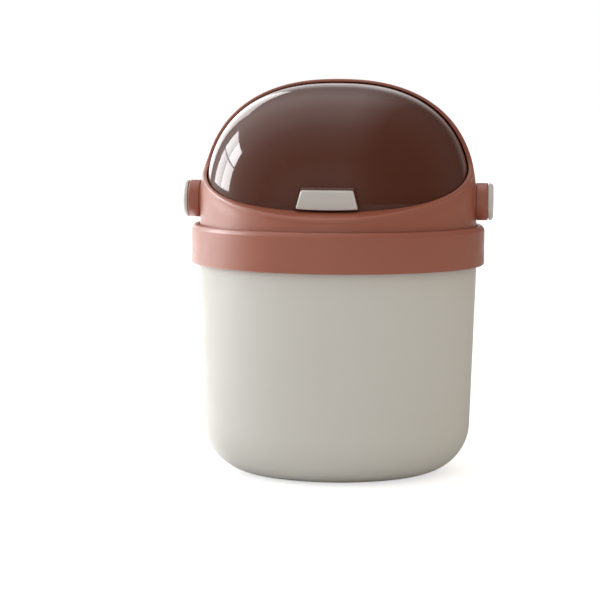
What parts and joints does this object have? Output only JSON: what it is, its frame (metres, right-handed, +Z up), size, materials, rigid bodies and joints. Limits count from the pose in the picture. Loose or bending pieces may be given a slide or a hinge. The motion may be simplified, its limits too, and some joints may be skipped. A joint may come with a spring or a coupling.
{
  "type": "desktop trash bin",
  "caption": "Round tabletop bin with a tapered bucket, a lift-off collar and dome hood, and a smoked front flap that rolls back inside the hood on side pivots.",
  "frame": {"origin": "middle of the foot ring, on the surface that the bin stands on", "axes": "+Z up, -Y towards the flap's front, +X along the flap's pivot towards the right knob"},
  "size_m": [0.142, 0.1344, 0.18],
  "materials": {
    "bucket_plastic": "satin off-white",
    "terracotta_plastic": "fine matte terracotta",
    "smoked_plastic": "polished smoked brown, see-through",
    "pale_trim_plastic": "satin warm off-white",
    "nylon": "natural nylon",
    "steel": "bright zinc plate",
    "soft_rubber": "matte"
  },
  "bodies": {
    "bin": {"bin_body": "bucket_plastic"},
    "lid": {"collar": "terracotta_plastic", "hood": "terracotta_plastic", "stop_pads": "soft_rubber", "left_pivot_bush": "nylon", "right_pivot_bush": "nylon"},
    "flap": {"dome_flap": "smoked_plastic", "flap_tab": "pale_trim_plastic", "tab_push_nuts": "steel", "left_thrust_washer": "nylon", "right_thrust_washer": "nylon", "left_pivot_pin": "steel", "right_pivot_pin": "steel", "left_pivot_screw": "steel", "right_pivot_screw": "steel", "left_pivot_knob": "terracotta_plastic", "right_pivot_knob": "terracotta_plastic", "left_knob_cap": "pale_trim_plastic", "right_knob_cap": "pale_trim_plastic"}
  },
  "joints": [
    {"name": "lid_lift", "type": "slide", "parent": "bin", "child": "lid", "axis": [0, 0, 1], "range_m": [0, 0.08]},
    {"name": "flap_roll", "type": "hinge", "parent": "lid", "child": "flap", "pos_m": [0, 0, 0.1246], "axis": [-1, 0, 0], "range_deg": [0, 82]}
  ]
}
